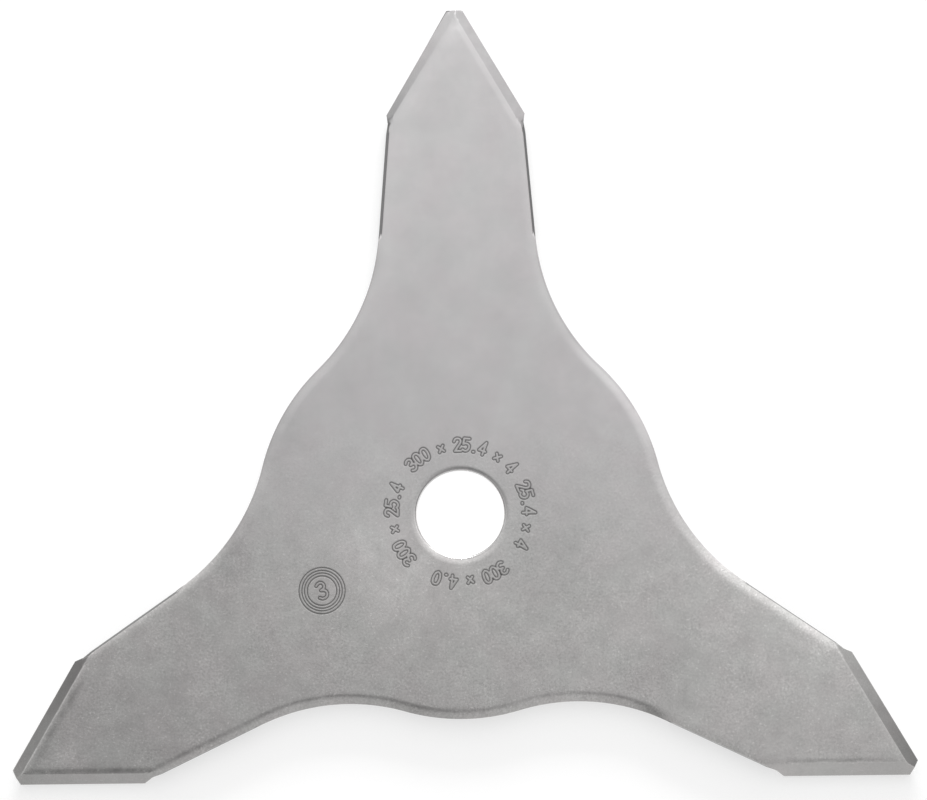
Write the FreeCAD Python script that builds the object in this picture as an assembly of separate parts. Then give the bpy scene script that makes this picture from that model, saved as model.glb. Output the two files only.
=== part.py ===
import FreeCAD, Part
import math
import os

# Brush cutter blade: one flat steel plate with a round hub and three arms, each ending in a ground tooth.
# Origin on the axis of the bore at mid thickness, +Z out of the front face, one arm along +Y.
# Lengths in millimetres, angles in degrees.

# Plate, hub and bore
plate_thickness = 4.0
arm_count = 3
hub_radius = 59.6            # the lobes between the arms lie on one circle about the bore
bore_diameter = 25.4         # one inch arbor
bore_rim_radius = 0.6        # rounding where the bore meets each face

# Arms
tip_radius = 150.0           # half of the cutting diameter
tip_width = 4.8              # small flat that ends each tooth
tooth_half_angle = 30.0      # a slanted edge against the middle line of its arm
arm_width = 40.4             # across the straight flanks, at the shoulders of the tooth
shoulder_overhang = 0.3      # how far a shoulder stands out of the line of its flank
flank_flare = 4.6            # how far each flank turns outwards on its way to the hub
neck_radius = 59.4           # hollow that joins a flank to the hub circle
heel_length = 2.7            # short end of a tooth, along the flank, from the shoulder to the heel
heel_undercut = 0.3          # how deep the heel lies inside the line of the flank
heel_runout = 3.0            # along the flank, from the heel back to its line

# Rolled border left by the punch, wide on the front face and narrow on the back face
front_roll_width = 2.6
front_roll_depth = 0.6
back_roll_width = 0.9
back_roll_depth = 0.35
roll_start_angle = 2.0       # slope of the roll where it leaves the flat face
roll_run_on = 1.5            # the roll runs on past the shoulders, where the facets take it away

# Ground facets of the teeth, front face: width at the tip and at the heel, seen square to the plate
# The order is arm by arm, anticlockwise from +Y, the right side of each arm first
front_facet_widths = [
    (3.5, 3.1), (3.5, 2.3),
    (2.7, 2.6), (3.5, 3.3),
    (4.3, 4.3), (3.1, 3.0),
]
back_facet_width = 3.2
edge_land = 0.3              # narrow wall left between the front and the back facet
facet_lead_width = 1.3       # shallow band inside the front facet
facet_lead_angle = 5.0

# Dressed flanks: a steep strip on each side of the straight stretch, ground after punching
flank_strip_width = 0.95
flank_land = 0.4             # wall left between the front and the back strip
flank_strip_runout = 1.7     # along the flank, where the strip fades out at the neck

# How far the cutting bodies stand clear of the plate
clearance = 1.0

half_thickness = plate_thickness / 2
flare = math.radians(flank_flare)
slant = math.radians(tooth_half_angle)
tooth_length = (arm_width / 2 + shoulder_overhang - tip_width / 2) / math.tan(slant)
shoulder_height = tip_radius - tooth_length
flank_down = FreeCAD.Vector(math.sin(flare), -math.cos(flare), 0)
flank_out = FreeCAD.Vector(math.cos(flare), math.sin(flare), 0)
slant_down = FreeCAD.Vector(math.sin(slant), -math.cos(slant), 0)
slant_out = FreeCAD.Vector(math.cos(slant), math.sin(slant), 0)
up = FreeCAD.Vector(0, 0, 1)
centre = FreeCAD.Vector(0, 0, 0)


# Point on the line of the right flank of the arm along +Y, a distance below the shoulder
def on_flank(distance):
    return FreeCAD.Vector(arm_width / 2, shoulder_height, 0) + flank_down * distance


# The neck touches the flank and the hub circle, so its middle is one radius off each of them
def neck_middle_and_flank_length():
    start = on_flank(0) + flank_out * neck_radius
    along = start.dot(flank_down)
    reach = hub_radius + neck_radius
    length = -along - math.sqrt(along ** 2 - start.dot(start) + reach ** 2)
    return start + flank_down * length, length


neck_middle, flank_length = neck_middle_and_flank_length()
flank_end = on_flank(flank_length)
neck_end = neck_middle * (hub_radius / (hub_radius + neck_radius))
tip_corner = FreeCAD.Vector(tip_width / 2, tip_radius, 0)
shoulder = tip_corner + slant_down * (tooth_length / math.cos(slant))
heel = on_flank(heel_length) - flank_out * heel_undercut
heel_back = on_flank(heel_length + heel_runout)


def mirrored(point):
    return FreeCAD.Vector(-point.x, point.y, point.z)


def turned(point, angle):
    return FreeCAD.Rotation(up, angle).multVec(point)


def arc_about(middle, start, end):
    radius = (start - middle).Length
    halfway = ((start - middle) + (end - middle)).normalize() * radius + middle
    return Part.Arc(start, halfway, end).toShape()


# Edges of one arm and of the lobe before it, anticlockwise
def arm_edges():
    pitch = 360.0 / arm_count
    lobe_start = turned(mirrored(neck_end), -pitch)
    right = [flank_end, heel_back, heel, shoulder, tip_corner]
    corners = right + [mirrored(point) for point in reversed(right)]
    edges = [arc_about(centre, lobe_start, neck_end), arc_about(neck_middle, neck_end, flank_end)]
    edges += [Part.makeLine(a, b) for a, b in zip(corners, corners[1:])]
    edges.append(arc_about(mirrored(neck_middle), mirrored(flank_end), mirrored(neck_end)))
    return edges


def around(shape):
    copies = []
    for index in range(arm_count):
        copy = shape.copy()
        copy.rotate(centre, up, index * 360.0 / arm_count)
        copies.append(copy)
    return copies


def both_sides(shape):
    return [shape, shape.mirror(centre, FreeCAD.Vector(1, 0, 0))]


def blank():
    edges = []
    for index in range(arm_count):
        for edge in arm_edges():
            edge.rotate(centre, up, index * 360.0 / arm_count)
            edges.append(edge)
    outline = Part.Wire(Part.__sortEdges__(edges))
    plate = Part.Face(outline).extrude(up * plate_thickness)
    plate.translate(up * -half_thickness)
    bore = Part.makeCylinder(bore_diameter / 2, plate_thickness, up * -half_thickness)
    plate = plate.cut(bore)
    rims = [edge for edge in plate.Edges
            if edge.Curve.TypeId == "Part::GeomCircle" and abs(edge.Curve.Radius - bore_diameter / 2) < 1e-6
            and edge.Curve.Center.Length > half_thickness / 2]
    return plate.makeFillet(bore_rim_radius, rims)


# Section of the body that shapes a rolled border, standing at a point of the outline
def roll_section(place, outward, width, depth):
    chord_angle = math.atan2(depth, width)
    start_angle = math.radians(roll_start_angle)
    radius = math.hypot(width, depth) / (2 * math.sin(chord_angle - start_angle))
    end_angle = math.asin(min(1.0, (width + clearance / 2) / radius + math.sin(start_angle)))
    angles = [start_angle, (start_angle + end_angle) / 2, end_angle]

    def at(out, height):
        return place + outward * out + up * (half_thickness + height)

    def on_roll(angle):
        return at(radius * (math.sin(angle) - math.sin(start_angle)) - width,
                  radius * (math.cos(angle) - math.cos(start_angle)))

    inner, middle, outer = [on_roll(angle) for angle in angles]
    top_outer = at((outer - place).dot(outward), clearance)
    top_inner = at(-width, clearance)
    edges = [Part.Arc(inner, middle, outer).toShape(), Part.makeLine(outer, top_outer),
             Part.makeLine(top_outer, top_inner), Part.makeLine(top_inner, inner)]
    return Part.Face(Part.Wire(edges))


# The roll follows a flank, the neck and the lobe beside it, and runs on into the tooth
def roll_bodies(width, depth):
    along_flank = roll_section(on_flank(-roll_run_on), flank_out, width, depth)
    flank_body = along_flank.extrude(flank_down * (flank_length + roll_run_on))
    neck_turn = math.degrees((flank_end - neck_middle).getAngle(neck_end - neck_middle))
    at_neck = roll_section(flank_end, flank_out, width, depth)
    neck_body = at_neck.revolve(neck_middle, up, neck_turn)
    hub_out = FreeCAD.Vector(neck_end).normalize()
    lobe_turn = 360.0 / arm_count - 2 * math.degrees(neck_end.getAngle(FreeCAD.Vector(0, 1, 0)))
    lobe_body = roll_section(neck_end, hub_out, width, depth).revolve(centre, up, -lobe_turn)
    bodies = []
    for body in both_sides(flank_body) + both_sides(neck_body) + [lobe_body]:
        bodies += around(body)
    return bodies


def flipped(bodies):
    return [body.mirror(centre, up) for body in bodies]


# Body that lies above a plane through three points, from past the tip to past the heel of a tooth
def above_plane(first, second, third):
    reach = tooth_length / 2
    along = (second - first).normalize()
    normal = (second - first).cross(third - first).normalize()
    if normal.z < 0:
        normal = normal * -1
    across = normal.cross(along)
    corner = first - along * reach - across * (reach / 2)
    far = (second - first).Length + 2 * reach
    outline = Part.makePolygon([corner, corner + along * far, corner + along * far + across * reach,
                                corner + across * reach, corner])
    return Part.Face(outline).extrude(normal * (plate_thickness + clearance))


# One facet on the right side of the arm along +Y: its inner line lies on the face, its outer edge at the land
def facet_body(tip_side_width, heel_side_width):
    at_tip = tip_corner - slant_out * tip_side_width + up * half_thickness
    at_shoulder = shoulder - slant_out * heel_side_width + up * half_thickness
    edge_middle = (tip_corner + shoulder) * 0.5 + up * (edge_land / 2)
    return above_plane(at_tip, at_shoulder, edge_middle)


def facet_lead_body(tip_side_width, heel_side_width):
    at_tip = tip_corner - slant_out * (tip_side_width + facet_lead_width) + up * half_thickness
    at_shoulder = shoulder - slant_out * (heel_side_width + facet_lead_width) + up * half_thickness
    drop = up * math.tan(math.radians(facet_lead_angle))
    return above_plane(at_tip, at_shoulder, at_tip + slant_out - drop)


def placed_on_side(body, index):
    arm, left = divmod(index, 2)
    if left:
        body = body.mirror(centre, FreeCAD.Vector(1, 0, 0))
    body.rotate(centre, up, arm * 360.0 / arm_count)
    return body


def front_facets():
    bodies = []
    for index in range(2 * arm_count):
        widths = front_facet_widths[index % len(front_facet_widths)]
        bodies.append(placed_on_side(facet_body(*widths), index))
        bodies.append(placed_on_side(facet_lead_body(*widths), index))
    return bodies


def back_facets():
    facet = facet_body(back_facet_width, back_facet_width)
    return flipped([placed_on_side(facet.copy(), index) for index in range(2 * arm_count)])


# Steep strip on the right flank: from the land at the wall up to the front face, faded out at the neck
def flank_strip():
    slope = (half_thickness - flank_land / 2) / flank_strip_width
    rise = half_thickness + clearance - flank_land / 2
    start = on_flank(heel_length)
    length = flank_length - heel_length

    def at(distance, inset, height):
        return start + flank_down * distance - flank_out * inset + up * height

    low = flank_land / 2 - clearance * slope
    section = Part.makePolygon([at(0, -clearance, low), at(0, rise / slope, low + (clearance + rise / slope) * slope),
                                at(0, -clearance, low + (clearance + rise / slope) * slope), at(0, -clearance, low)])
    wedge = Part.Face(section).extrude(flank_down * length)
    fade = flank_strip_runout * clearance / flank_strip_width
    inner = flank_strip_width + clearance
    inner_fade = flank_strip_runout * inner / flank_strip_width
    allowed = Part.makePolygon([at(0, -clearance, -plate_thickness), at(0, inner, -plate_thickness),
                                at(length - inner_fade, inner, -plate_thickness),
                                at(length + fade, -clearance, -plate_thickness),
                                at(0, -clearance, -plate_thickness)])
    return wedge.common(Part.Face(allowed).extrude(up * 2 * plate_thickness))


def flank_strips():
    bodies = []
    for strip in both_sides(flank_strip()):
        bodies += around(strip)
    return bodies


def blade():
    plate = blank()
    rolled = plate.cut(roll_bodies(front_roll_width, front_roll_depth))
    rolled = rolled.cut(flipped(roll_bodies(back_roll_width, back_roll_depth)))
    dressed = rolled.cut(flank_strips() + flipped(flank_strips()))
    ground = dressed.cut(front_facets() + back_facets())
    return ground.removeSplitter()


os.makedirs("parts", exist_ok=True)
shape = blade()
print("blade: solids", len(shape.Solids), "valid", shape.isValid(), "faces", len(shape.Faces),
      "volume", round(shape.Volume), "box", shape.BoundBox)
shape.exportStep("parts/blade.step")
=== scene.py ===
import math

import bpy
import numpy as np
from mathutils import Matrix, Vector
from mathutils.geometry import delaunay_2d_cdt


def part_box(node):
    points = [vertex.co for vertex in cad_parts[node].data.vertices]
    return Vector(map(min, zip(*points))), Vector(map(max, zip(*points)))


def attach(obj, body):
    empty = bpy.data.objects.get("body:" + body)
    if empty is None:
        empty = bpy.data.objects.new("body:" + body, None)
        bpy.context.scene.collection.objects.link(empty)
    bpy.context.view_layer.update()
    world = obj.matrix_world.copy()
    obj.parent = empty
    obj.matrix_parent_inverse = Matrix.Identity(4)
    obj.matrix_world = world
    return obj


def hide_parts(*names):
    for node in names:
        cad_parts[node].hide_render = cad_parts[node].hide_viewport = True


# Brush cutter blade lying on a white table, seen from above.
# Sizes of the blade are in millimetres, and mm turns them into metres. Angles are in degrees.
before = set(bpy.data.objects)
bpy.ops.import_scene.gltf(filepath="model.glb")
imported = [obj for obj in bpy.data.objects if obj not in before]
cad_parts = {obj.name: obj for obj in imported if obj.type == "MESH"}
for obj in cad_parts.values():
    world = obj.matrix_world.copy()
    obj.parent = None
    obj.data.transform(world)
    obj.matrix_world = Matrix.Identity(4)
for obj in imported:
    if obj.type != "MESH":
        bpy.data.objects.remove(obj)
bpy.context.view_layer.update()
bladeLow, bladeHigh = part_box("blade")
mm = 0.001

print("stage 1: blade outline")

bladeSizes = {
    "arms": 3,
    "hubRadius": 59.6,
    "boreRadius": 12.7,
    "boreRimRadius": 0.6,
    "tipWidth": 4.8,           # small flat that ends each tooth
    "toothHalfAngle": 30.0,
    "armWidth": 40.4,
    "shoulderOverhang": 0.3,
    "flankFlare": 4.6,
    "neckRadius": 59.4,
    "heelLength": 2.7,
    "heelUndercut": 0.3,
    "heelRunout": 3.0,
    "outlineStep": 1.0,        # distance between two points of the outline
    "edgeRounding": 0.1,       # broken edge between a face and the wall
}

halfThickness = (bladeHigh.z - bladeLow.z) / 2 / mm
tipRadius = bladeHigh.y / mm
pitch = 2 * math.pi / bladeSizes["arms"]
flare = math.radians(bladeSizes["flankFlare"])
slant = math.radians(bladeSizes["toothHalfAngle"])
flankDown = np.array([math.sin(flare), -math.cos(flare)])
flankOut = np.array([math.cos(flare), math.sin(flare)])
slantOut = np.array([math.cos(slant), math.sin(slant)])
shoulderX = bladeSizes["armWidth"] / 2 + bladeSizes["shoulderOverhang"]
toothLength = (shoulderX - bladeSizes["tipWidth"] / 2) / math.tan(slant)
flankTop = np.array([bladeSizes["armWidth"] / 2, tipRadius - toothLength])
tipMiddle = np.array([0.0, tipRadius])
tipCorner = np.array([bladeSizes["tipWidth"] / 2, tipRadius])
shoulder = np.array([shoulderX, tipRadius - toothLength])
heel = flankTop + flankDown * bladeSizes["heelLength"] - flankOut * bladeSizes["heelUndercut"]
heelBack = flankTop + flankDown * (bladeSizes["heelLength"] + bladeSizes["heelRunout"])


def neckMiddleAndFlankLength():
    # the neck arc touches the flank and the hub circle
    start = flankTop + flankOut * bladeSizes["neckRadius"]
    along = start @ flankDown
    reach = bladeSizes["hubRadius"] + bladeSizes["neckRadius"]
    length = -along - math.sqrt(along ** 2 - start @ start + reach ** 2)
    return start + flankDown * length, length


neckMiddle, flankLength = neckMiddleAndFlankLength()
flankEnd = flankTop + flankDown * flankLength
neckEnd = neckMiddle * bladeSizes["hubRadius"] / (bladeSizes["hubRadius"] + bladeSizes["neckRadius"])


def mirrored(points):
    return points * np.array([-1.0, 1.0])


def turned(points, angle):
    c, s = math.cos(angle), math.sin(angle)
    return points @ np.array([[c, s], [-s, c]])


def circlePoints(count):
    around = np.linspace(0, 2 * math.pi, count + 1)
    return np.stack([np.cos(around), np.sin(around)], axis=1)


def alongLine(start, end, step):
    count = max(1, round(np.linalg.norm(end - start) / step))
    return start + (end - start) * np.arange(count)[:, None] / count


def alongArc(middle, start, end, step):
    first = math.atan2(start[1] - middle[1], start[0] - middle[0])
    last = math.atan2(end[1] - middle[1], end[0] - middle[0])
    turn = (last - first + math.pi) % (2 * math.pi) - math.pi
    radius = np.linalg.norm(start - middle)
    count = max(2, round(abs(turn) * radius / step))
    angles = first + turn * np.arange(count) / count
    return middle + radius * np.stack([np.cos(angles), np.sin(angles)], axis=1)


def outlineLoop(step):
    # anticlockwise, arm by arm, starting on the hub circle to the right of the arm
    centre = np.zeros(2)
    corners = [flankEnd, heelBack, heel, shoulder, tipCorner]
    corners += [tipMiddle] + [mirrored(p) for p in reversed(corners)]
    stretches = [alongArc(centre, turned(mirrored(neckEnd), -pitch), neckEnd, step),
                 alongArc(neckMiddle, neckEnd, flankEnd, step)]
    stretches += [alongLine(start, end, step) for start, end in zip(corners, corners[1:])]
    stretches.append(alongArc(mirrored(neckMiddle), mirrored(flankEnd), mirrored(neckEnd), step))
    arm = np.concatenate(stretches)
    return np.concatenate([turned(arm, k * pitch) for k in range(bladeSizes["arms"])])


def distanceToPath(points, starts, ends):
    # how far each point lies from the nearest of some straight runs
    nearest = np.full(len(points), np.inf)
    for a, b in zip(starts, ends):
        run = b - a
        share = np.clip(((points - a) @ run) / (run @ run), 0, 1)
        gap = points - a - share[:, None] * run
        nearest = np.minimum(nearest, gap[:, 0] ** 2 + gap[:, 1] ** 2)
    return np.sqrt(nearest)


outline = outlineLoop(bladeSizes["outlineStep"])


def distanceToOutline(points):
    return distanceToPath(points, outline, np.roll(outline, -1, axis=0))


print("stage 2: stamped figures")

markSizes = {
    "height": 3.7,             # of a figure on the ring
    "spacing": 0.68,           # from one figure to the next, as a share of the height
    "ringRadius": 20.1,        # middle of the figures round the bore
    # figures, and the direction from the bore to their middle
    "arcs": [("300 x 25.4 x 4", 87.5), ("25.4 x 4", -3.0), ("300 x 4.0", -82.5), ("300 x 25.4", 189.0)],
    "stampPlace": (-40.5, -22.0),
    "stampRings": (6.3, 4.7),
    "stampFigure": "3",
    "stampFigureHeight": 4.8,
    "stampTurn": 18.0,
    "grooveFromMiddle": 0.43,  # a stroke is two thin grooves with a light band between them
    "grooveHalfWidth": 0.27,
    "depth": 0.05,
    "darkness": 0.8,
    "bandDarkness": 0.08,
    "cornerCuts": 2,           # how often the corners of a stroke are cut to make a curve
    "ringCorners": 72,
    "step": 0.22,              # distance between two points of the mesh along a stroke
    "endAngles": (-1.0, -0.5, 0.0, 0.5, 1.0),      # in radians, of its points round the end of a stroke
    "besideGroove": 0.15,      # its last row of points outside the grooves
    "rowTolerance": 0.03,
    "clearOfMarks": 5.0,       # distance beyond which no stroke is looked for
}

# Strokes of the figures in a box 0.6 wide and 1 high
figureBoxMiddle = np.array([0.3, 0.5])
figureStrokes = {
    "0": [[(0.3, 0), (0.1, 0.1), (0.03, 0.5), (0.1, 0.9), (0.3, 1),
           (0.5, 0.9), (0.57, 0.5), (0.5, 0.1), (0.3, 0)]],
    "2": [[(0.04, 0.76), (0.12, 0.95), (0.3, 1), (0.5, 0.93), (0.55, 0.72), (0.45, 0.5), (0.05, 0)],
          [(0.05, 0), (0.57, 0)]],
    "3": [[(0.05, 0.88), (0.2, 1), (0.42, 0.98), (0.53, 0.78), (0.44, 0.58), (0.24, 0.53)],
          [(0.24, 0.53), (0.5, 0.46), (0.57, 0.26), (0.46, 0.05), (0.2, 0), (0.03, 0.13)]],
    "4": [[(0.42, 0), (0.42, 1)], [(0.42, 1), (0.03, 0.3)], [(0.03, 0.3), (0.57, 0.3)]],
    "5": [[(0.52, 1), (0.12, 1)], [(0.12, 1), (0.07, 0.55)],
          [(0.07, 0.55), (0.3, 0.63), (0.52, 0.52), (0.57, 0.3), (0.45, 0.06), (0.2, 0), (0.03, 0.12)]],
    "x": [[(0.1, 0.15), (0.5, 0.6)], [(0.1, 0.6), (0.5, 0.15)]],
    ".": [[(0.25, 0.03), (0.32, 0.03)]],
    " ": [],
}


def strokeOf(corners):
    # cuts the corners of a bent stroke so that it runs in a curve
    points = np.array(corners, float)
    if len(points) == 2:
        return points
    for _ in range(markSizes["cornerCuts"]):
        near = points[:-1] * 0.75 + points[1:] * 0.25
        far = points[:-1] * 0.25 + points[1:] * 0.75
        inner = np.stack([near, far], axis=1).reshape(-1, 2)[1:-1]
        points = np.concatenate([points[:1], inner, points[-1:]])
    return points


def figuresOnRing(text, middleAngle):
    height, radius = markSizes["height"], markSizes["ringRadius"]
    advance = markSizes["spacing"] * height
    paths = []
    for index, figure in enumerate(text):
        left = (index - len(text) / 2) * advance
        for corners in figureStrokes[figure]:
            stroke = strokeOf(corners) * height
            angles = math.radians(middleAngle) - (left + stroke[:, 0]) / radius
            away = radius + stroke[:, 1] - height / 2
            paths.append(np.stack([np.cos(angles) * away, np.sin(angles) * away], axis=1))
    return paths


def ringStamp():
    place = np.array(markSizes["stampPlace"])
    circle = circlePoints(markSizes["ringCorners"])
    paths = [place + circle * radius for radius in markSizes["stampRings"]]
    for corners in figureStrokes[markSizes["stampFigure"]]:
        stroke = (strokeOf(corners) - figureBoxMiddle) * markSizes["stampFigureHeight"]
        paths.append(place + turned(stroke, math.radians(markSizes["stampTurn"])))
    return paths


markPaths = ringStamp()
for arcText, arcMiddle in markSizes["arcs"]:
    markPaths += figuresOnRing(arcText, arcMiddle)
markStarts = np.concatenate([path[:-1] for path in markPaths])
markEnds = np.concatenate([path[1:] for path in markPaths])
markReach = np.linalg.norm(markEnds, axis=1).max() + markSizes["clearOfMarks"]


def grooveShare(points):
    # how deep a point lies in a stamped groove, from 0 to 1, and how near it is to a stroke
    near = np.full(len(points), np.inf)
    close = np.hypot(points[:, 0], points[:, 1]) < markReach
    near[close] = distanceToPath(points[close], markStarts, markEnds)
    share = np.clip(1 - np.abs(near - markSizes["grooveFromMiddle"]) / markSizes["grooveHalfWidth"], 0, 1)
    return share, near


print("stage 3: heights of the two faces")

# How one side of one arm is ground and rolled, and where light and shade are painted on it, here as it is
# on the back
plainSide = {
    "tip": 3.2,                # width of the ground facet at the tip of the tooth
    "heel": 3.2,               # and at its heel
    "tipTone": 0.95,           # painted light and shade of the facet against plain steel, at the tip
    "heelTone": 0.95,
    "lead": 0.0,               # how far the face falls towards the facet
    "arrisHighlight": 0.0,               # painted highlight on the arris between face and facet
    "paintedShading": 0.0,              # painted shade of the band beside the arris; a value above 0 paints it lighter
    "shadingAt": 1.0,            # its middle
    "shadingHalf": 1.0,          # and half its width
    "strip": 0.2,              # width of the steep strip along the flank
    "heelRoll": 1.0,           # how far the border is rolled over at the heel,
    "flankRoll": 1.0,          # along the flank,
    "neckRoll": 1.0,           # in the neck
    "lobeRoll": 1.0,           # and round the hub
    "borderSheen": 0.0,               # painted highlight: how much brighter the border is painted along the flank
    "borderSheenReach": 1.0,          # and how far in
    "rim": 0.0,                # painted shade: how much darker the outermost half millimetre is beyond the flank
}
# The front: right and left side of the upper arm, upper and lower side of the left arm,
# lower and upper side of the right arm
frontSides = [
    dict(plainSide, tip=3.0, tipTone=0.94, lead=0.8, strip=0.87,
         heelRoll=0.25, flankRoll=0.25, neckRoll=0.2, lobeRoll=0.85, rim=0.14),
    dict(plainSide, tip=3.5, heel=2.3, tipTone=1.09, heelTone=0.78, lead=1.0, strip=0.9,
         paintedShading=0.06, shadingAt=2.0, shadingHalf=3.0,
         heelRoll=0.15, flankRoll=0.1, neckRoll=0.5, borderSheen=0.09, borderSheenReach=6.0, rim=0.14),
    dict(plainSide, tip=3.1, heel=3.1, tipTone=0.89, heelTone=0.56, lead=0.6, strip=0.85,
         arrisHighlight=0.26, paintedShading=-0.2, shadingAt=1.5, shadingHalf=2.0,
         heelRoll=0.15, flankRoll=0.1, neckRoll=0.25, borderSheen=0.5, borderSheenReach=1.45, rim=0.1),
    dict(plainSide, tip=3.1, heel=3.1, heelTone=1.04, lead=0.7,
         arrisHighlight=0.05, paintedShading=-0.2, shadingAt=1.1, shadingHalf=1.7,
         heelRoll=0.9, flankRoll=0.85, neckRoll=1.35, borderSheen=-0.05, borderSheenReach=4.5),
    dict(plainSide, tip=3.6, heel=3.6, tipTone=0.98, heelTone=1.06, lead=0.5,
         arrisHighlight=0.13, paintedShading=-0.2, shadingAt=0.95, shadingHalf=0.9,
         heelRoll=0.2, flankRoll=0.12, neckRoll=1.35, borderSheen=0.05, borderSheenReach=2.0),
    dict(plainSide, tip=3.3, heel=3.4, tipTone=0.63, heelTone=1.12, lead=0.15, strip=0.35,
         arrisHighlight=0.08, paintedShading=-0.06, shadingAt=1.8,
         heelRoll=0.4, flankRoll=0.6, neckRoll=0.9, lobeRoll=0.85, borderSheen=0.19, borderSheenReach=3.2),
]
backSides = [dict(plainSide, strip=look["strip"]) for look in frontSides]

# Ridges: the painted highlight where the two facets of a tooth meet, its strength and reach for each arm
faceSizes = {
    "front": {"sides": frontSides, "ridges": [(0.08, 0.42), (0.3, 0.13), (0.35, 0.13)],
              "rollWidth": 3.2, "rollStraight": 1.1, "rollAngle": 14.0, "leadWidth": 1.3},
    "back": {"sides": backSides, "ridges": [(0.0, 1.0), (0.0, 1.0), (0.0, 1.0)],
             "rollWidth": 1.1, "rollStraight": 0.5, "rollAngle": 23.6, "leadWidth": 0.0},
    "leadAngle": 5.0,          # the face falls a little just inside each ground facet
    "leadSoftness": 0.02,
    "edgeLand": 0.3,           # wall left between the facets of the two faces
    "arrisSoftness": 0.05,
    "toneSoftness": 0.1,       # height over which the tone changes from one surface to the next
    "wallTone": 0.7,
    "onWall": 0.004,           # a point this near to an edge belongs to the wall
    "stripLand": 0.4,          # wall left between the strips of the two faces
    "stripRunout": 1.7,        # the strip begins to fade this far before the end of the flank,
    "stripSlopeOut": 0.6,      # this fast there
    "stripSlopeIn": 2.0,       # and this fast at the heel
    # the steep strips are painted almost black, a painted reflection of the dark studio beside them
    "stripTone": 0.18,
    "rimReach": 0.55,
    "rimGrowth": 10.0,         # length beyond the flank over which the dark rim sets in
    "boreRollWidth": 1.9,
    "boreRollLean": 0.5,       # the roll is narrower above the bore and wider below it
    "boreRollStraight": 0.45,
    "boreRollAngle": 13.0,
    "boreRimTone": 0.34,       # painted shade above and below the rim, painted highlight at its sides
    "boreRimTurn": 10.0,
    "boreRimReach": 1.0,
    "boreRimFade": 0.5,
    "waverWidth": 0.07,        # how far the painted shade and highlight beside a hand ground arris wander
    # its waves: radians along a tooth, height, and radians from one side to the next
    "waverWaves": [(19.0, 1.0, 2.3), (43.0, 0.6, 1.0)],
    "shadingGrowth": 0.5,        # share of the tooth over which the painted shade sets in from the tip
    "shadingEnd": (1.1, 5.0),    # where it ends, in lengths of the tooth, and how sharply
    "shadingOnFacet": 0.2,
    "arrisHighlightPlace": 0.1,          # how far inside the arris the painted highlight lies
    "arrisHighlightHalf": 0.16,
    "arrisHighlightEnd": (1.08, 9.0),
    # start and length of each change along the border, from the top of the flank
    "heelToFlank": (4.0, 12.0),
    "borderSheenStart": (2.0, 8.0),
    # and from its end
    "flankToNeck": (-2.0, 16.0),
    "neckToLobe": (28.0, 16.0),
    "borderSheenEnd": (2.0, 26.0),
}

# Broad soft patches of painted reflection on the front face: place, reach and how much lighter they are
# than plain steel
paintedReflectionPatches = [
    ((-18, -17), 13, 0.15), ((28, -14), 15, -0.11), ((-70, -10), 13, -0.15), ((98, -32), 15, 0.12),
    ((118, -52), 12, 0.05), ((-118, -62), 10, -0.13), ((47, 32), 14, 0.06), ((-52, 27), 13, -0.05),
    ((54, -49), 13, -0.06), ((-92, -58), 12, -0.05), ((0, 145), 4, 0.1),
    ((-29, -10), 7, 0.12), ((-116, -69), 5, 0.18),
]


def softMin(a, b, softness):
    overlap = np.maximum(softness - np.abs(a - b), 0)
    return np.minimum(a, b) - overlap ** 2 / (4 * softness)


def eased(value):
    share = np.clip(value, 0, 1)
    return share * share * (3 - 2 * share)


def easedAlong(along, startAndLength):
    start, length = startAndLength
    return eased((along - start) / length)


def inArmFrame(points):
    # the nearest arm, and the point as seen with that arm along +Y
    angle = np.arctan2(-points[:, 0], points[:, 1])
    arm = np.round(angle / pitch).astype(int) % bladeSizes["arms"]
    c, s = np.cos(arm * pitch), np.sin(arm * pitch)
    local = np.stack([points[:, 0] * c + points[:, 1] * s, points[:, 1] * c - points[:, 0] * s], axis=1)
    return arm, local


def rightHalf(local):
    return np.stack([np.abs(local[:, 0]), local[:, 1]], axis=1)


def borderDistance(local):
    # how far inside the flank, neck and lobe lines a point lies
    p = rightHalf(local)
    toLobe = bladeSizes["hubRadius"] - np.hypot(p[:, 0], p[:, 1])
    toNeck = np.hypot(p[:, 0] - neckMiddle[0], p[:, 1] - neckMiddle[1]) - bladeSizes["neckRadius"]
    toFlank = -((p - flankTop) @ flankOut)
    besideLobe = p[:, 0] * neckMiddle[1] - p[:, 1] * neckMiddle[0] > 0
    besideNeck = (p - flankEnd) @ flankDown > 0
    return np.where(besideLobe, toLobe, np.where(besideNeck, toNeck, toFlank))


def toothDistance(local):
    # how far inside the slanting edges of the tooth a point lies
    return -((rightHalf(local) - tipCorner) @ slantOut)


def rollDrop(distance, width, straight, angle):
    # the border bends down softly and then runs straight to the edge
    bent = np.clip(width - distance, 0, width - straight)
    run = bent ** 2 / (2 * (width - straight)) + np.maximum(straight - distance, 0)
    return run * math.tan(math.radians(angle))


def quarterRound(distance, radius):
    inside = np.clip(radius - distance, 0, radius)
    return radius - np.sqrt(radius ** 2 - inside ** 2)


def facetLine(tip, heel):
    # start and outward direction of the line that lies this far inside the edge of the tooth
    atTip = tipCorner - slantOut * tip
    atShoulder = shoulder - slantOut * heel
    along = (atShoulder - atTip) / np.linalg.norm(atShoulder - atTip)
    return atTip, np.array([-along[1], along[0]])


def facetHeight(local, look):
    # height of a ground facet, and how far outside its arris each point lies
    start, outward = facetLine(look["tip"], look["heel"])
    outside = (local - start) @ outward
    toEdge = ((tipCorner + shoulder) / 2 - start) @ outward
    return halfThickness - outside * (halfThickness - faceSizes["edgeLand"] / 2) / toEdge, outside


def leadHeight(local, look, leadWidth):
    start, outward = facetLine(look["tip"] + leadWidth, look["heel"] + leadWidth)
    angle = math.radians(faceSizes["leadAngle"] * look["lead"])
    return halfThickness - ((local - start) @ outward) * math.tan(angle)


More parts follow.
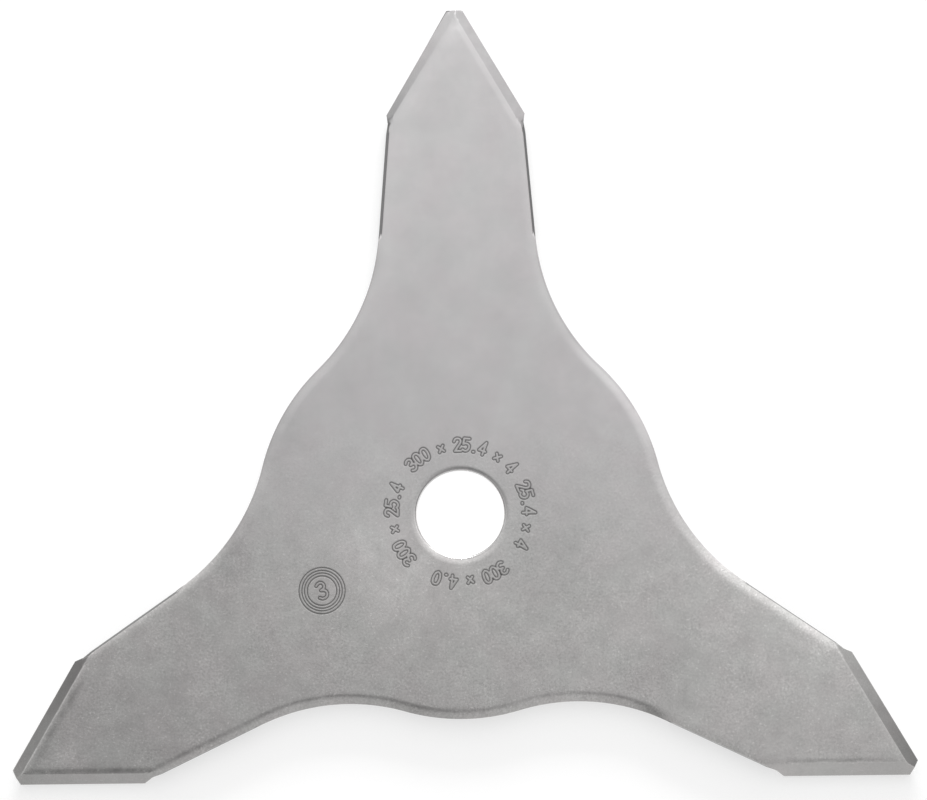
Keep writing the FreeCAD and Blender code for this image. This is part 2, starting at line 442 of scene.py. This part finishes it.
def stripHeight(local, width):
    p = rightHalf(local)
    slope = (halfThickness - faceSizes["stripLand"] / 2) / width
    inset = -((p - flankTop) @ flankOut)
    along = (p - flankTop) @ flankDown
    faded = np.maximum(along - flankLength + faceSizes["stripRunout"], 0) * faceSizes["stripSlopeOut"]
    faded += np.maximum(bladeSizes["heelLength"] - along, 0) * faceSizes["stripSlopeIn"]
    return faceSizes["stripLand"] / 2 + (inset + faded) * slope


def sideValues(side, name, arm, local):
    # a value of the side of the arm that each point lies on
    return np.array([look[name] for look in faceSizes[side]["sides"]])[arm * 2 + (local[:, 0] < 0)]


def arrisShading(look, index, down, outside):
    # the painted shade band and the painted highlight beside an arris, which wander along it
    waver = sum(height * np.sin(down * waves + index * shift)
                for waves, height, shift in faceSizes["waverWaves"])
    inside = faceSizes["waverWidth"] * waver - outside
    shadingEnd, shadingSharpness = faceSizes["shadingEnd"]
    paintedShading = look["paintedShading"] * eased(1 - np.abs(inside - look["shadingAt"]) / look["shadingHalf"])
    paintedShading *= eased(down / faceSizes["shadingGrowth"]) * np.clip((shadingEnd - down) * shadingSharpness, 0, 1)
    arrisHighlightEnd, arrisHighlightSharpness = faceSizes["arrisHighlightEnd"]
    arrisHighlight = look["arrisHighlight"] * np.exp(-((inside - faceSizes["arrisHighlightPlace"]) / faceSizes["arrisHighlightHalf"]) ** 2)
    return paintedShading + arrisHighlight * np.clip((arrisHighlightEnd - down) * arrisHighlightSharpness, 0, 1)


def facetsAndLead(side, arm, local):
    # the lower of the ground facets at each point, the lead into them and the tones round their arrises
    count = len(local)
    facet, lead = np.full(count, np.inf), np.full(count, np.inf)
    tone, paintedShading, first = np.ones(count), np.zeros(count), np.zeros(count)
    for index, look in enumerate(faceSizes[side]["sides"]):
        own = arm == index // 2
        seen = mirrored(local[own]) if index % 2 else local[own]
        plane, outside = facetHeight(seen, look)
        down = (tipRadius - seen[:, 1]) / toothLength
        # each facet's painted light and shade, changing from tip to heel
        ownTone = look["tipTone"] + (look["heelTone"] - look["tipTone"]) * np.clip(down, 0, 1)
        tone[own] = np.where(plane < facet[own], ownTone, tone[own])
        if index % 2:
            # painted highlight along the ridge between the two facets
            strength, reach = faceSizes[side]["ridges"][index // 2]
            tone[own] *= 1 + strength * np.exp(-((plane - first[own]) / reach) ** 2)
        first[own] = plane
        paintedShading[own] += arrisShading(look, index, down, outside)
        facet[own] = softMin(facet[own], plane, faceSizes["arrisSoftness"])
        lead[own] = np.minimum(lead[own], leadHeight(seen, look, faceSizes[side]["leadWidth"]))
    return facet, lead, tone, paintedShading


def borderHeight(side, arm, local):
    # height of the rolled border, and its tone where a painted highlight brightens it or painted shade
    # darkens its rim
    sizes = faceSizes[side]
    distance = borderDistance(local)
    along = (rightHalf(local) - flankTop) @ flankDown
    beyond = along - flankLength
    roll = sideValues(side, "heelRoll", arm, local)
    for name, measured, change in (("flankRoll", along, "heelToFlank"), ("neckRoll", beyond, "flankToNeck"),
                                   ("lobeRoll", beyond, "neckToLobe")):
        roll = roll + (sideValues(side, name, arm, local) - roll) * easedAlong(measured, faceSizes[change])
    drop = rollDrop(distance, sizes["rollWidth"], sizes["rollStraight"], sizes["rollAngle"])
    borderSheen = sideValues(side, "borderSheen", arm, local) * easedAlong(along, faceSizes["borderSheenStart"])
    borderSheen *= 1 - easedAlong(beyond, faceSizes["borderSheenEnd"])
    borderSheen *= np.exp(-(distance / sideValues(side, "borderSheenReach", arm, local)) ** 2)
    # painted shade along the outermost edge of the border beyond the flank
    rim = sideValues(side, "rim", arm, local) * eased(beyond / faceSizes["rimGrowth"])
    rim *= np.exp(-(distance / faceSizes["rimReach"]) ** 2)
    return halfThickness - drop * roll, 1 + borderSheen - rim


def shareBelow(height, other):
    # how much of the surface at each point belongs to the other one, which lies lower there
    return np.clip(0.5 + (height - other) / faceSizes["toneSoftness"], 0, 1)


def boreRim(side, points, toBore):
    # how far the rim of the bore drops, and its painted light and shade
    around = np.arctan2(points[:, 1], points[:, 0])
    drop = quarterRound(toBore, bladeSizes["boreRimRadius"])
    if side == "front":
        width = faceSizes["boreRollWidth"] - faceSizes["boreRollLean"] * np.sin(around)
        drop = drop + rollDrop(toBore, width, faceSizes["boreRollStraight"], faceSizes["boreRollAngle"])
    # painted light and shade round the bore's rim
    lighter = np.cos(2 * (around - math.radians(faceSizes["boreRimTurn"])))
    near = eased((faceSizes["boreRimReach"] - toBore) / faceSizes["boreRimFade"])
    return drop, 1 + faceSizes["boreRimTone"] * lighter * near


def faceSurface(points, side):
    # height above mid thickness, and what the steel needs to know: the share of ground facet,
    # the tone against plain steel with its painted light and shade, and the painted shading
    arm, local = inArmFrame(points)
    height, tone = borderHeight(side, arm, local)
    strip = stripHeight(local, sideValues(side, "strip", arm, local))
    stripShare = shareBelow(height, strip)
    height = softMin(height, strip, faceSizes["arrisSoftness"])
    facet, lead, facetTone, paintedShading = facetsAndLead(side, arm, local)
    if faceSizes[side]["leadWidth"] > 0:
        height = softMin(height, lead, faceSizes["leadSoftness"])
    facetShare = shareBelow(height, facet)
    plain = 1 - facetShare
    height = softMin(height, facet, faceSizes["arrisSoftness"])
    toBore = np.hypot(points[:, 0], points[:, 1]) - bladeSizes["boreRadius"]
    toEdge = distanceToOutline(points)
    rimDrop, rimTone = boreRim(side, points, toBore)
    height = height - rimDrop - quarterRound(toEdge, bladeSizes["edgeRounding"])
    tone = facetTone * facetShare + tone * plain
    # painted dark reflection on the steep strips along the flanks
    tone *= 1 - (1 - faceSizes["stripTone"]) * stripShare * plain
    tone *= rimTone
    onWall = np.minimum(toEdge, np.abs(toBore)) < faceSizes["onWall"]
    tone *= np.where(onWall, faceSizes["wallTone"], 1)
    paintedShading = paintedShading * (1 - (1 - faceSizes["shadingOnFacet"]) * facetShare)
    if side == "front":
        # painted reflection: lighter and darker patches on the plain face
        for place, reach, strength in paintedReflectionPatches:
            away = np.hypot(points[:, 0] - place[0], points[:, 1] - place[1])
            paintedShading += strength * np.exp(-(away / reach) ** 2) * plain
        groove, near = grooveShare(points)
        height = height - groove * markSizes["depth"]
        tone *= 1 - markSizes["darkness"] * groove
        tone *= np.where(near < markSizes["grooveFromMiddle"], 1 - markSizes["bandDarkness"], 1)
    return height, {"facet": facetShare, "tone": tone, "paintedShading": paintedShading}


print("stage 4: mesh of the blade")

# Rings and rows of points: how far inside the edges they lie, closer together where the face bends
meshSizes = {
    "edgeRings": (0.015, 0.05, 0.1, 0.25),
    "frontRings": (0.45, 0.65, 0.85, 1.1, 1.35, 1.6, 1.85, 2.1, 2.35, 2.6, 2.9, 3.2, 4.2),
    "backRings": (0.45, 0.6, 0.75, 0.9, 1.1, 1.6, 3.0),
    "boreRings": (0.03, 0.1, 0.2, 0.32, 0.46, 0.6, 0.75, 0.95, 1.15, 1.4, 1.65, 1.9, 2.15, 2.4, 2.7),
    "boreCorners": 144,
    "ringTolerance": 0.97,     # a ring ends where another edge is nearer than this share of its distance
    "ringsFromTooth": 2.5,     # the rings of the border stay this far from the edges of the teeth
    "ringsNearerBy": 0.1,      # and at least this much nearer to the border than to those edges
    "facetRows": (0.25, 0.45, 0.65, 0.8, 0.92, 0.97, 1.0),       # as shares of the facet's width
    "rowsPastArris": (0.06, 0.15, 0.35, 0.7, 1.0, 1.3, 1.6, 2.2, 3.4),
    "rowStep": 0.9,
    "clearOfRidge": 0.3,
    "clearOfTip": 0.4,
    "clearOfFlank": 0.5,
    "ridgeRows": (0.02, 0.1, 0.25, 0.5, 0.9, 1.3, 1.7, 2.1, 2.5, 2.9),      # down from the tip
    "besideRidge": (-0.7, -0.35, -0.13, -0.06, 0.0, 0.06, 0.13, 0.35, 0.7),
    "gridStep": 4.0,
    "gridFromEdge": 4.5,
    "gridFromTooth": 8.5,
    "gridFromBore": 3.0,
    "gridFromStroke": 1.5,
    "toothSpacing": 0.05,      # of two points the rows keep one where they are about this close
    "markSpacing": 0.07,
    "sameSpot": 1e-6,          # nearer than this, two points are one
    "sharpAngle": 38.0,        # from this angle on an edge is drawn sharp
}


def ringsInside(loop, offsets):
    # points on parallel lines inside the outline, where no other edge is nearer
    forward = np.roll(loop, -1, axis=0) - loop
    forward /= np.linalg.norm(forward, axis=1)[:, None]
    along = forward + np.roll(forward, 1, axis=0)
    along /= np.linalg.norm(along, axis=1)[:, None]
    inward = np.stack([-along[:, 1], along[:, 0]], axis=1) / (along * forward).sum(1)[:, None]
    rings = []
    for offset in offsets:
        ring = loop + inward * offset
        rings.append(ring[distanceToOutline(ring) > offset * meshSizes["ringTolerance"]])
    return np.concatenate(rings)


def borderRings(side):
    # the rings along flank, neck and lobe, without those along the edges of the teeth
    rings = ringsInside(outline, meshSizes[side + "Rings"])
    toTooth = toothDistance(inArmFrame(rings)[1])
    keep = toTooth > meshSizes["ringsFromTooth"]
    keep &= distanceToOutline(rings) < toTooth - meshSizes["ringsNearerBy"]
    return rings[keep]


def ridgeRows(right, left):
    # points on and beside the line where the two facet planes of a tooth meet
    down = np.array(meshSizes["ridgeRows"])
    gaps = []
    for across in (0.0, 1.0):
        place = np.stack([np.full(len(down), across), tipRadius - down], axis=1)
        gaps.append(facetHeight(place, right)[0] - facetHeight(mirrored(place), left)[0])
    middle = gaps[0] / (gaps[0] - gaps[1])
    return np.concatenate([np.stack([middle + beside, tipRadius - down], axis=1)
                           for beside in meshSizes["besideRidge"]])


def toothRows(side):
    # points on lines parallel to each arris, and on the ridges
    sides = faceSizes[side]["sides"]
    count = round(toothLength / math.cos(slant) / meshSizes["rowStep"])
    share = np.linspace(0, 1, count + 1)[:, None]
    edge = tipCorner + (shoulder - tipCorner) * share
    rows = []
    for index, look in enumerate(sides):
        width = look["tip"] + (look["heel"] - look["tip"]) * share
        offsets = [width * part for part in meshSizes["facetRows"]]
        offsets += [width + extra for extra in meshSizes["rowsPastArris"]]
        points = np.concatenate([edge - slantOut * offset for offset in offsets])
        clear = points[:, 0] > meshSizes["clearOfRidge"]
        clear &= points[:, 1] < tipRadius - meshSizes["clearOfTip"]
        clear &= borderDistance(points) > meshSizes["clearOfFlank"]
        points = mirrored(points[clear]) if index % 2 else points[clear]
        rows.append(turned(points, (index // 2) * pitch))
    for k in range(bladeSizes["arms"]):
        rows.append(turned(ridgeRows(sides[2 * k], sides[2 * k + 1]), k * pitch))
    return np.concatenate(rows)


def markRows():
    # points along the stamped strokes: their middle, and the foot and shoulders of the grooves
    middle, half = markSizes["grooveFromMiddle"], markSizes["grooveHalfWidth"]
    outermost = middle + half + markSizes["besideGroove"]
    rows = []
    for path in markPaths:
        stretches = [alongLine(a, b, markSizes["step"]) for a, b in zip(path, path[1:])]
        fine = np.concatenate(stretches + [path[-1:]])
        along = np.gradient(fine, axis=0)
        along /= np.linalg.norm(along, axis=1)[:, None]
        across = np.stack([-along[:, 1], along[:, 0]], axis=1)
        for offset in (0.0, middle - half, middle, middle + half, outermost):
            sides = [fine + across * offset, fine - across * offset]
            for angle in markSizes["endAngles"]:
                sides.append(fine[:1] - turned(along[:1], angle) * offset)
                sides.append(fine[-1:] + turned(along[-1:], angle) * offset)
            points = np.concatenate(sides)
            near = distanceToPath(points, markStarts, markEnds)
            rows.append(points[near > offset - markSizes["rowTolerance"]])
    return np.concatenate(rows)


def innerGrid():
    # even triangles over the plain middle of a face
    step = meshSizes["gridStep"]
    reach = np.arange(-tipRadius, tipRadius, step)
    x, y = np.meshgrid(reach, reach * math.sqrt(0.75))
    x = x + (np.arange(len(reach)) % 2)[:, None] * step / 2
    points = np.stack([x.ravel(), y.ravel()], axis=1)
    local = inArmFrame(points)[1]
    keep = borderDistance(local) > meshSizes["gridFromEdge"]
    keep &= toothDistance(local) > meshSizes["gridFromTooth"]
    keep &= np.hypot(points[:, 0], points[:, 1]) > bladeSizes["boreRadius"] + meshSizes["gridFromBore"]
    points = points[keep]
    return points[grooveShare(points)[1] > meshSizes["gridFromStroke"]]


def thinned(points, spacing):
    cells = np.unique(np.round(points / spacing).astype(int), axis=0, return_index=True)[1]
    return points[np.sort(cells)]


def facePoints(side, boreCircle):
    # all the points inside one face
    inner = [ringsInside(outline, meshSizes["edgeRings"])]
    inner += [boreCircle * (bladeSizes["boreRadius"] + offset) for offset in meshSizes["boreRings"]]
    inner += [borderRings(side), thinned(toothRows(side), meshSizes["toothSpacing"]), innerGrid()]
    if side == "front":
        inner.append(thinned(markRows(), meshSizes["markSpacing"]))
    return np.concatenate(inner)


def faceTriangles(boreLoop, inner):
    # triangles between the outline and the bore through all the inner points
    points = np.concatenate([outline, boreLoop, inner])
    n, m = len(outline), len(boreLoop)
    edges = [(i, (i + 1) % n) for i in range(n)]
    edges += [(n + i, n + (i + 1) % m) for i in range(m)]
    made = delaunay_2d_cdt([Vector(p) for p in points], edges, [], 1, meshSizes["sameSpot"])
    flat = np.array([tuple(v) for v in made[0]])
    triangles = np.array([f for f in made[2] if len(f) == 3])
    onBore = np.hypot(flat[:, 0], flat[:, 1]) < bladeSizes["boreRadius"] + faceSizes["onWall"]
    triangles = triangles[~onBore[triangles].all(axis=1)]
    a, b, c = flat[triangles[:, 0]], flat[triangles[:, 1]], flat[triangles[:, 2]]
    area = (b - a)[:, 0] * (c - a)[:, 1] - (b - a)[:, 1] * (c - a)[:, 0]
    triangles[area < 0] = triangles[area < 0][:, ::-1]
    place = {first: index for index, origins in enumerate(made[3]) for first in origins}
    return flat, triangles, [place[i] for i in range(n)], [place[n + i] for i in range(m)]


def bladeFaces():
    # the two faces, each from its own points, and the walls between their edges
    boreCircle = circlePoints(meshSizes["boreCorners"])[:-1]
    vertices, faces, loops = [], [], []
    looks = {"facet": [], "tone": [], "paintedShading": []}
    for side, sign in (("front", 1), ("back", -1)):
        inner = facePoints(side, boreCircle)
        flat, triangles, edgeIndex, boreIndex = faceTriangles(boreCircle * bladeSizes["boreRadius"], inner)
        height, look = faceSurface(flat, side)
        base = len(vertices)
        vertices += [tuple(v) for v in np.column_stack([flat, sign * height]) * mm]
        faces += [tuple(base + t) for t in triangles[:, ::sign]]
        loops.append(([base + i for i in edgeIndex], [base + i for i in boreIndex]))
        for name, values in look.items():
            looks[name].append(values)
        print("  ", side, len(flat), "points,", len(triangles), "triangles")
    (frontEdge, frontBore), (backEdge, backBore) = loops
    for upper, lower in ((frontEdge, backEdge), (backBore, frontBore)):
        for i, j in zip(range(-1, len(upper) - 1), range(len(upper))):
            faces.append((lower[i], lower[j], upper[j], upper[i]))
    return vertices, faces, looks


def buildBlade():
    vertices, faces, looks = bladeFaces()
    mesh = bpy.data.meshes.new("groundBlade")
    mesh.from_pydata(vertices, [], faces)
    for name, values in looks.items():
        attribute = mesh.attributes.new(name, "FLOAT", "POINT")
        attribute.data.foreach_set("value", np.concatenate(values).astype(np.float32))
    mesh.shade_smooth()
    mesh.set_sharp_from_angle(angle=math.radians(meshSizes["sharpAngle"]))
    mesh.validate()
    piece = bpy.data.objects.new("groundBlade", mesh)
    bpy.context.scene.collection.objects.link(piece)
    return piece


blade = buildBlade()

print("stage 5: steel")

# Sizes are those of one feature in millimetres, contrasts are shares of the steel's own tone
steelLook = {
    "upperColour": (0.628, 0.614, 0.618, 1),
    "lowerColour": (0.631, 0.62, 0.61, 1),
    "warmTint": (1.006, 0.995, 1.001, 1),
    "coolTint": (0.994, 1.004, 1.002, 1),
    "tintSize": 12.0,
    "grainSize": 0.7,
    "grainContrast": 0.27,
    "grainBottom": -25.0,      # below this height on the blade the grain has its full strength
    "grainTop": 30.0,          # above this one it has only the next share of it
    "grainAtTop": 0.06,
    "grainOnFacet": 0.35,
    "grainFieldSize": 14.0,    # of fields with weaker and stronger grain
    "grainField": (0.65, 1.25),
    "speckSize": 0.55,         # small bright specks of the lower half
    "speckContrast": 0.2,
    "cloudSize": 9.0,
    "cloudContrast": 0.06,
    "patchSize": 28.0,
    "patchContrast": 0.06,
    "smudgeSize": 4.5,         # stains of the lower half
    "smudgeContrast": 0.1,
    "shadingUnevenSize": 3.5,    # the painted shading and painted reflection patches of the mesh are uneven too
    "shadingUneven": (0.6, 1.4),
    "usualRange": (0.3, 0.7),          # part of a noise pattern that gets the whole contrast
    "narrowRange": (0.35, 0.65),
    "speckRange": (0.7, 0.8),
    "roughness": 0.23,
    "roughnessSpread": 0.03,
    "roughnessSize": 3.0,
    "bumpHeight": 0.01,
    "bumpStrength": 0.5,
}


def addNode(tree, kind, **settings):
    node = tree.nodes.new(kind)
    for name, value in settings.items():
        setattr(node, name, value)
    return node


def setOrLink(tree, socket, value):
    if isinstance(value, (int, float, tuple)):
        socket.default_value = value
    else:
        tree.links.new(value, socket)


def noise(tree, place, size, detail=2.0, roughness=0.5):
    # cloud pattern with features of about that size in millimetres
    node = addNode(tree, "ShaderNodeTexNoise")
    node.inputs["Scale"].default_value = 1 / (size * mm)
    node.inputs["Detail"].default_value = detail
    node.inputs["Roughness"].default_value = roughness
    setOrLink(tree, node.inputs["Vector"], place)
    return node.outputs["Fac"]


def mapped(tree, value, low, high, newLow, newHigh):
    node = addNode(tree, "ShaderNodeMapRange")
    for name, number in zip(("From Min", "From Max", "To Min", "To Max"), (low, high, newLow, newHigh)):
        node.inputs[name].default_value = number
    setOrLink(tree, node.inputs["Value"], value)
    return node.outputs["Result"]


def calculated(tree, operation, *values):
    # one operation on two or more values, one after the other
    result = values[0]
    for value in values[1:]:
        node = addNode(tree, "ShaderNodeMath", operation=operation)
        setOrLink(tree, node.inputs[0], result)
        setOrLink(tree, node.inputs[1], value)
        result = node.outputs[0]
    return result


def mixed(tree, kind, share, first, second):
    node = addNode(tree, "ShaderNodeMix", data_type="RGBA", blend_type=kind)
    setOrLink(tree, node.inputs["Factor"], share)
    setOrLink(tree, node.inputs["A"], first)
    setOrLink(tree, node.inputs["B"], second)
    return node.outputs["Result"]


def attributeValue(tree, name):
    return addNode(tree, "ShaderNodeAttribute", attribute_name=name).outputs["Fac"]


def aroundOne(tree, pattern, contrast):
    return mapped(tree, pattern, *steelLook["usualRange"], 1 - contrast / 2, 1 + contrast / 2)


def grainOfSteel(tree, place, lower):
    # the fine grain, and how strong it is at each place
    plain = calculated(tree, "SUBTRACT", 1.0, attributeValue(tree, "facet"))
    share = calculated(tree, "MULTIPLY", lower, mapped(tree, plain, 0, 1, steelLook["grainOnFacet"], 1))
    grain = mapped(tree, noise(tree, place, steelLook["grainSize"], roughness=0.6), 0, 1, -1, 1)
    field = noise(tree, place, steelLook["grainFieldSize"])
    field = mapped(tree, field, *steelLook["narrowRange"], *steelLook["grainField"])
    return calculated(tree, "MULTIPLY", grain, calculated(tree, "MULTIPLY", share, field)), share


def toneOfSteel(tree, place, grain, share):
    # grain and specks, clouds, smudges and patches, the tone of each surface with its painted light and
    # shade, and the painted shading
    tone = calculated(tree, "ADD", 1.0, calculated(tree, "MULTIPLY", grain, steelLook["grainContrast"]))
    speck = noise(tree, place, steelLook["speckSize"], detail=0.0)
    speck = mapped(tree, speck, *steelLook["speckRange"], 0, steelLook["speckContrast"])
    tone = calculated(tree, "ADD", tone, calculated(tree, "MULTIPLY", speck, share))

    cloud = noise(tree, place, steelLook["cloudSize"], detail=3.0)
    cloud = aroundOne(tree, cloud, steelLook["cloudContrast"])
    smudge = noise(tree, place, steelLook["smudgeSize"], detail=3.0, roughness=0.6)
    smudge = mapped(tree, smudge, *steelLook["usualRange"], -0.5, 0.5)
    smudgeShare = calculated(tree, "MULTIPLY", share, steelLook["smudgeContrast"])
    cloud = calculated(tree, "ADD", cloud, calculated(tree, "MULTIPLY", smudge, smudgeShare))
    patch = aroundOne(tree, noise(tree, place, steelLook["patchSize"]), steelLook["patchContrast"])
    tone = calculated(tree, "MULTIPLY", tone, calculated(tree, "MULTIPLY", cloud, patch))

    uneven = noise(tree, place, steelLook["shadingUnevenSize"])
    uneven = mapped(tree, uneven, *steelLook["usualRange"], *steelLook["shadingUneven"])
    paintedShading = calculated(tree, "MULTIPLY", attributeValue(tree, "paintedShading"), uneven)
    shadingFactor = calculated(tree, "ADD", 1.0, paintedShading)
    return calculated(tree, "MULTIPLY", tone, attributeValue(tree, "tone"), shadingFactor)


def colourOfSteel(tree, place, lower):
    steel = mixed(tree, "MIX", lower, steelLook["upperColour"], steelLook["lowerColour"])
    tint = mapped(tree, noise(tree, place, steelLook["tintSize"]), *steelLook["narrowRange"], 0, 1)
    tint = mixed(tree, "MIX", tint, steelLook["warmTint"], steelLook["coolTint"])
    return mixed(tree, "MULTIPLY", 1.0, steel, tint)


def steelMaterial():
    material = bpy.data.materials.new("groundSteel")
    material.use_nodes = True
    tree = material.node_tree
    shader = tree.nodes["Principled BSDF"]
    shader.inputs["Metallic"].default_value = 1.0
    place = addNode(tree, "ShaderNodeTexCoord").outputs["Object"]
    parts = addNode(tree, "ShaderNodeSeparateXYZ")
    setOrLink(tree, parts.inputs[0], place)
    lower = mapped(tree, parts.outputs["Y"], steelLook["grainTop"] * mm, steelLook["grainBottom"] * mm,
                   steelLook["grainAtTop"], 1)
    grain, share = grainOfSteel(tree, place, lower)
    tone = toneOfSteel(tree, place, grain, share)
    steel = mixed(tree, "MULTIPLY", 1.0, colourOfSteel(tree, place, lower), tone)
    setOrLink(tree, shader.inputs["Base Color"], steel)

    least = steelLook["roughness"] - steelLook["roughnessSpread"]
    most = steelLook["roughness"] + steelLook["roughnessSpread"]
    rough = noise(tree, place, steelLook["roughnessSize"], detail=3.0)
    rough = mapped(tree, rough, *steelLook["usualRange"], least, most)
    setOrLink(tree, shader.inputs["Roughness"], rough)
    bump = addNode(tree, "ShaderNodeBump")
    bump.inputs["Distance"].default_value = steelLook["bumpHeight"] * mm
    bump.inputs["Strength"].default_value = steelLook["bumpStrength"]
    setOrLink(tree, bump.inputs["Height"], grain)
    setOrLink(tree, shader.inputs["Normal"], bump.outputs["Normal"])
    return material


blade.data.materials.append(steelMaterial())
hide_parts("blade")
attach(blade, "root")

print("stage 6: table, light and camera")

# Sizes and places of the studio and the camera are in metres
studio = {
    "tableHalfWidth": 6.0,
    "tableBelow": 0.05,        # but the gap between the blade and the table is in millimetres
    "tableColour": (0.45, 0.45, 0.45, 1),
    "tableRoughness": 0.9,
    "tableGlow": 0.6,
    "middleGlow": 0.28,        # painted light: the table glows more under the bore, lifting the bore's shadow to the white of the open table
    "middleReach": (0.014, 0.03),
    # brightness of the soft studio walls by direction, from left to right and from near to far
    "skyAcross": [(-0.96, 0.8), (-0.88, 0.35), (-0.6, 0.75), (-0.2, 0.9),
                  (0.1, 1.1), (0.45, 1.05), (0.88, 0.35), (0.96, 0.8)],
    "skyAlong": [(-1.0, 0.55), (0.0, 0.55), (0.25, 0.95), (0.6, 1.1), (1.0, 2.8)],
    "darkSpot": (-0.12, -0.2, 0.97),       # the unlit place beside the camera
    "darkSpotReach": 0.27,
    "darkSpotTone": 0.2,
    "lampPlace": (0.1, 1.5, 0.31),         # low behind the blade, its shadow falls towards the viewer
    "lampSize": (0.9, 0.16),
    "lampPower": 28.0,
}

cameraFit = {
    "place": (0.02216, -0.0489, 0.7961),
    "tilt": 5.883,
    "lean": 1.571,
    "turn": -0.703,
    "lens": 105.92,            # focal length in millimetres
}


def ramp(tree, value, stops):
    # a tone for each value between -1 and 1
    node = addNode(tree, "ShaderNodeValToRGB")
    node.color_ramp.interpolation = "LINEAR"
    elements = node.color_ramp.elements
    while len(elements) < len(stops):
        elements.new(0.5)
    for element, (position, tone) in zip(elements, stops):
        element.position = (position + 1) / 2
        element.color = (tone, tone, tone, 1)
    setOrLink(tree, node.inputs["Fac"], mapped(tree, value, -1, 1, 0, 1))
    return node.outputs["Color"]


def makeSky():
    world = bpy.data.worlds.new("studioSky")
    bpy.context.scene.world = world
    world.use_nodes = True
    tree = world.node_tree
    direction = addNode(tree, "ShaderNodeTexCoord").outputs["Generated"]
    parts = addNode(tree, "ShaderNodeSeparateXYZ")
    setOrLink(tree, parts.inputs[0], direction)
    across = ramp(tree, parts.outputs["X"], studio["skyAcross"])
    along = ramp(tree, parts.outputs["Y"], studio["skyAlong"])
    away = addNode(tree, "ShaderNodeVectorMath", operation="DISTANCE")
    setOrLink(tree, away.inputs[0], direction)
    away.inputs[1].default_value = Vector(studio["darkSpot"]).normalized()
    spot = addNode(tree, "ShaderNodeMapRange", interpolation_type="SMOOTHSTEP")
    spot.inputs["From Max"].default_value = studio["darkSpotReach"]
    spot.inputs["To Min"].default_value = studio["darkSpotTone"]
    setOrLink(tree, spot.inputs["Value"], away.outputs["Value"])
    background = tree.nodes["Background"]
    setOrLink(tree, background.inputs["Color"], mixed(tree, "MULTIPLY", 1.0, across, along))
    setOrLink(tree, background.inputs["Strength"], spot.outputs["Result"])


def tableMaterial():
    # white to the camera and in reflections, grey to the light
    material = bpy.data.materials.new("whiteTable")
    material.use_nodes = True
    tree = material.node_tree
    shader = tree.nodes["Principled BSDF"]
    shader.inputs["Base Color"].default_value = studio["tableColour"]
    shader.inputs["Roughness"].default_value = studio["tableRoughness"]
    shader.inputs["Specular IOR Level"].default_value = 0.0
    shader.inputs["Emission Color"].default_value = (1, 1, 1, 1)
    rays = addNode(tree, "ShaderNodeLightPath").outputs
    kinds = ("Is Camera Ray", "Is Glossy Ray", "Is Transmission Ray")
    seen = calculated(tree, "MAXIMUM", *[rays[kind] for kind in kinds])
    away = addNode(tree, "ShaderNodeVectorMath", operation="LENGTH")
    setOrLink(tree, away.inputs[0], addNode(tree, "ShaderNodeTexCoord").outputs["Object"])
    near, far = studio["middleReach"]
    # painted light under the bore, falling from the brightest glow at the middle to the plain table glow
    brightest = studio["tableGlow"] + studio["middleGlow"]
    glow = mapped(tree, away.outputs["Value"], near, far, brightest, studio["tableGlow"])
    setOrLink(tree, shader.inputs["Emission Strength"], calculated(tree, "MULTIPLY", seen, glow))
    return material


def makeTable():
    half = studio["tableHalfWidth"]
    level = bladeLow.z - studio["tableBelow"] * mm
    corners = [(-half, -half, level), (half, -half, level), (half, half, level), (-half, half, level)]
    mesh = bpy.data.meshes.new("table")
    mesh.from_pydata(corners, [], [(0, 1, 2, 3)])
    mesh.materials.append(tableMaterial())
    table = bpy.data.objects.new("table", mesh)
    bpy.context.scene.collection.objects.link(table)


def makeLamp():
    lamp = bpy.data.lights.new("lowSoftbox", "AREA")
    lamp.shape = "RECTANGLE"
    lamp.size, lamp.size_y = studio["lampSize"]
    lamp.energy = studio["lampPower"]
    holder = bpy.data.objects.new("lowSoftbox", lamp)
    holder.location = studio["lampPlace"]
    holder.rotation_euler = (-holder.location).to_track_quat("-Z", "Y").to_euler()
    bpy.context.scene.collection.objects.link(holder)


def makeCamera():
    data = bpy.data.cameras.new("camera")
    data.lens = cameraFit["lens"]
    camera = bpy.data.objects.new("camera", data)
    camera.location = cameraFit["place"]
    camera.rotation_euler = [math.radians(cameraFit[name]) for name in ("tilt", "lean", "turn")]
    bpy.context.scene.collection.objects.link(camera)
    bpy.context.scene.camera = camera


makeSky()
makeTable()
makeLamp()
makeCamera()
bpy.context.scene.view_settings.view_transform = "Standard"

print("stage 7: done,", len(blade.data.polygons), "faces")
